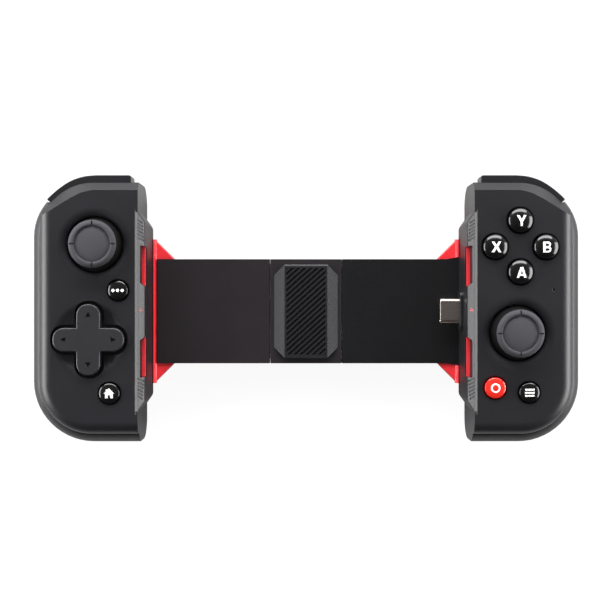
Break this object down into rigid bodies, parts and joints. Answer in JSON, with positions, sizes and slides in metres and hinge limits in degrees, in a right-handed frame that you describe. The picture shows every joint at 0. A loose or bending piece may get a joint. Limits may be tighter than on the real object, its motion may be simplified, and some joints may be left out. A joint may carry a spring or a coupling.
{
  "type": "mobile game controller",
  "caption": "Two-handed game controller whose grips spread on a sprung bridge to clamp a phone, with thumb sticks, direction pad, buttons and a plug.",
  "frame": {"origin": "on the surface that the backs of both grips rest on, midway between the grips' outer sides and midway between the feet of the grips and the bumpers, bridge closed", "axes": "+X from the left grip to the right grip, +Y towards the bumpers and triggers, +Z out of the front face with the sticks"},
  "size_m": [0.1806, 0.0878, 0.038],
  "materials": {
    "shell_plastic": "fine moulded grain",
    "bridge_plastic": "fine moulded grain",
    "red_plastic": "satin",
    "gear_plastic": "natural moulded",
    "board": "solder mask",
    "switch_plastic": "moulded",
    "module_steel": "pressed",
    "stick_rubber": "moulded",
    "gloss_black": "polished",
    "small_button": "polished",
    "red_button": "polished",
    "steel": "drawn",
    "plug_metal": "satin plated",
    "lens": "clear-coated",
    "pad_rubber": "moulded"
  },
  "bodies": {
    "bridge": {"bridge_housing": "bridge_plastic", "bridge_pad": "pad_rubber", "bridge_rail": "gear_plastic", "pinion_pin": "steel", "left_return_spring": "steel", "right_return_spring": "steel"},
    "pinion": {"pinion": "gear_plastic"},
    "left_grip": {"left_front_shell": "shell_plastic", "left_back_shell": "shell_plastic", "left_bracket": "red_plastic", "left_sleeve": "bridge_plastic", "left_rack": "gear_plastic", "left_circuit_board": "board", "left_switches": "switch_plastic", "left_stick_module": "module_steel", "left_trigger_pin": "steel", "left_trigger_spring": "steel"},
    "right_grip": {"right_front_shell": "shell_plastic", "right_back_shell": "shell_plastic", "right_bracket": "red_plastic", "right_sleeve": "bridge_plastic", "right_rack": "gear_plastic", "right_circuit_board": "board", "right_switches": "switch_plastic", "right_stick_module": "module_steel", "right_trigger_pin": "steel", "right_trigger_spring": "steel", "usb_plug": "plug_metal", "usb_plug_base": "red_plastic", "charging_port": "plug_metal", "indicator_lens": "lens"},
    "view_button": {"view_button": "small_button"},
    "home_button": {"home_button": "small_button"},
    "a_button": {"a_button": "gloss_black"},
    "b_button": {"b_button": "gloss_black"},
    "x_button": {"x_button": "gloss_black"},
    "y_button": {"y_button": "gloss_black"},
    "app_button": {"app_button": "red_button"},
    "menu_button": {"menu_button": "small_button"},
    "left_stick_yoke": {"left_stick_yoke": "gear_plastic"},
    "left_stick_pivot": {"left_stick_pivot": "gear_plastic"},
    "left_stick_cap": {"left_stick_cap": "stick_rubber"},
    "right_stick_yoke": {"right_stick_yoke": "gear_plastic"},
    "right_stick_pivot": {"right_stick_pivot": "gear_plastic"},
    "right_stick_cap": {"right_stick_cap": "stick_rubber"},
    "dpad_pivot": {"dpad_pivot": "gear_plastic"},
    "dpad": {"dpad": "gloss_black"},
    "right_bumper": {"right_bumper": "gloss_black"},
    "right_trigger": {"right_trigger": "shell_plastic"},
    "left_bumper": {"left_bumper": "gloss_black"},
    "left_trigger": {"left_trigger": "shell_plastic"}
  },
  "joints": [
    {"name": "left_slide", "type": "slide", "parent": "bridge", "child": "left_grip", "axis": [-1, 0, 0], "range_m": [0, 0.033], "stiffness_N_per_m": 60, "springref_m": -0.03, "deforming": ["left_return_spring"]},
    {"name": "right_slide", "type": "slide", "parent": "bridge", "child": "right_grip", "axis": [1, 0, 0], "range_m": [0, 0.033], "stiffness_N_per_m": 60, "springref_m": -0.03, "deforming": ["right_return_spring"]},
    {"name": "pinion_spin", "type": "hinge", "parent": "bridge", "child": "pinion", "pos_m": [0, -0.0008, 0.0081], "axis": [0, 0, 1], "range_deg": [0, 394]},
    {"name": "view_press", "type": "slide", "parent": "left_grip", "child": "view_button", "axis": [0, 0, -1], "range_m": [0, 0.001], "stiffness_N_per_m": 300, "springref_m": -0.002},
    {"name": "home_press", "type": "slide", "parent": "left_grip", "child": "home_button", "axis": [0, 0, -1], "range_m": [0, 0.001], "stiffness_N_per_m": 300, "springref_m": -0.002},
    {"name": "a_press", "type": "slide", "parent": "right_grip", "child": "a_button", "axis": [0, 0, -1], "range_m": [0, 0.001], "stiffness_N_per_m": 300, "springref_m": -0.002},
    {"name": "b_press", "type": "slide", "parent": "right_grip", "child": "b_button", "axis": [0, 0, -1], "range_m": [0, 0.001], "stiffness_N_per_m": 300, "springref_m": -0.002},
    {"name": "x_press", "type": "slide", "parent": "right_grip", "child": "x_button", "axis": [0, 0, -1], "range_m": [0, 0.001], "stiffness_N_per_m": 300, "springref_m": -0.002},
    {"name": "y_press", "type": "slide", "parent": "right_grip", "child": "y_button", "axis": [0, 0, -1], "range_m": [0, 0.001], "stiffness_N_per_m": 300, "springref_m": -0.002},
    {"name": "app_press", "type": "slide", "parent": "right_grip", "child": "app_button", "axis": [0, 0, -1], "range_m": [0, 0.001], "stiffness_N_per_m": 300, "springref_m": -0.002},
    {"name": "menu_press", "type": "slide", "parent": "right_grip", "child": "menu_button", "axis": [0, 0, -1], "range_m": [0, 0.001], "stiffness_N_per_m": 300, "springref_m": -0.002},
    {"name": "left_stick_y", "type": "hinge", "parent": "left_grip", "child": "left_stick_yoke", "pos_m": [-0.0689, 0.0211, 0.022], "axis": [-1, 0, 0], "range_deg": [-15, 15], "stiffness_Nm_per_rad": 0.03},
    {"name": "left_stick_x", "type": "hinge", "parent": "left_stick_yoke", "child": "left_stick_pivot", "pos_m": [-0.0689, 0.0211, 0.022], "axis": [0, 1, 0], "range_deg": [-15, 15], "stiffness_Nm_per_rad": 0.03},
    {"name": "left_stick_click", "type": "slide", "parent": "left_stick_pivot", "child": "left_stick_cap", "axis": [0, 0, -1], "range_m": [0, 0.0004], "stiffness_N_per_m": 600, "springref_m": -0.001},
    {"name": "right_stick_y", "type": "hinge", "parent": "right_grip", "child": "right_stick_yoke", "pos_m": [0.069, -0.0078, 0.022], "axis": [-1, 0, 0], "range_deg": [-15, 15], "stiffness_Nm_per_rad": 0.03},
    {"name": "right_stick_x", "type": "hinge", "parent": "right_stick_yoke", "child": "right_stick_pivot", "pos_m": [0.069, -0.0078, 0.022], "axis": [0, 1, 0], "range_deg": [-15, 15], "stiffness_Nm_per_rad": 0.03},
    {"name": "right_stick_click", "type": "slide", "parent": "right_stick_pivot", "child": "right_stick_cap", "axis": [0, 0, -1], "range_m": [0, 0.0004], "stiffness_N_per_m": 600, "springref_m": -0.001},
    {"name": "dpad_y", "type": "hinge", "parent": "left_grip", "child": "dpad_pivot", "pos_m": [-0.0707, -0.0099, 0.0242], "axis": [-1, 0, 0], "range_deg": [-4, 4], "stiffness_Nm_per_rad": 0.05},
    {"name": "dpad_x", "type": "hinge", "parent": "dpad_pivot", "child": "dpad", "pos_m": [-0.0707, -0.0099, 0.0242], "axis": [0, 1, 0], "range_deg": [-4, 4], "stiffness_Nm_per_rad": 0.05},
    {"name": "right_bumper_press", "type": "hinge", "parent": "right_grip", "child": "right_bumper", "pos_m": [0.059, 0.0371, 0.0225], "axis": [0, 0, -1], "range_deg": [0, 2.2], "stiffness_Nm_per_rad": 0.5, "springref_deg": -2.29},
    {"name": "right_trigger_pull", "type": "hinge", "parent": "right_grip", "child": "right_trigger", "pos_m": [0.0725, 0.0345, 0.0124], "axis": [-1, 0, 0], "range_deg": [0, 10], "stiffness_Nm_per_rad": 0.05, "springref_deg": -5.73, "deforming": ["right_trigger_spring"]},
    {"name": "left_bumper_press", "type": "hinge", "parent": "left_grip", "child": "left_bumper", "pos_m": [-0.059, 0.0371, 0.0225], "axis": [0, 0, 1], "range_deg": [0, 2.2], "stiffness_Nm_per_rad": 0.5, "springref_deg": -2.29},
    {"name": "left_trigger_pull", "type": "hinge", "parent": "left_grip", "child": "left_trigger", "pos_m": [-0.0725, 0.0345, 0.0124], "axis": [-1, 0, 0], "range_deg": [0, 10], "stiffness_Nm_per_rad": 0.05, "springref_deg": -5.73, "deforming": ["left_trigger_spring"]}
  ],
  "couplings": [
    {"joint": "right_slide", "follows": "left_slide", "ratio": 1},
    {"joint": "pinion_spin", "follows": "left_slide", "rad_per_m": 208.33}
  ]
}
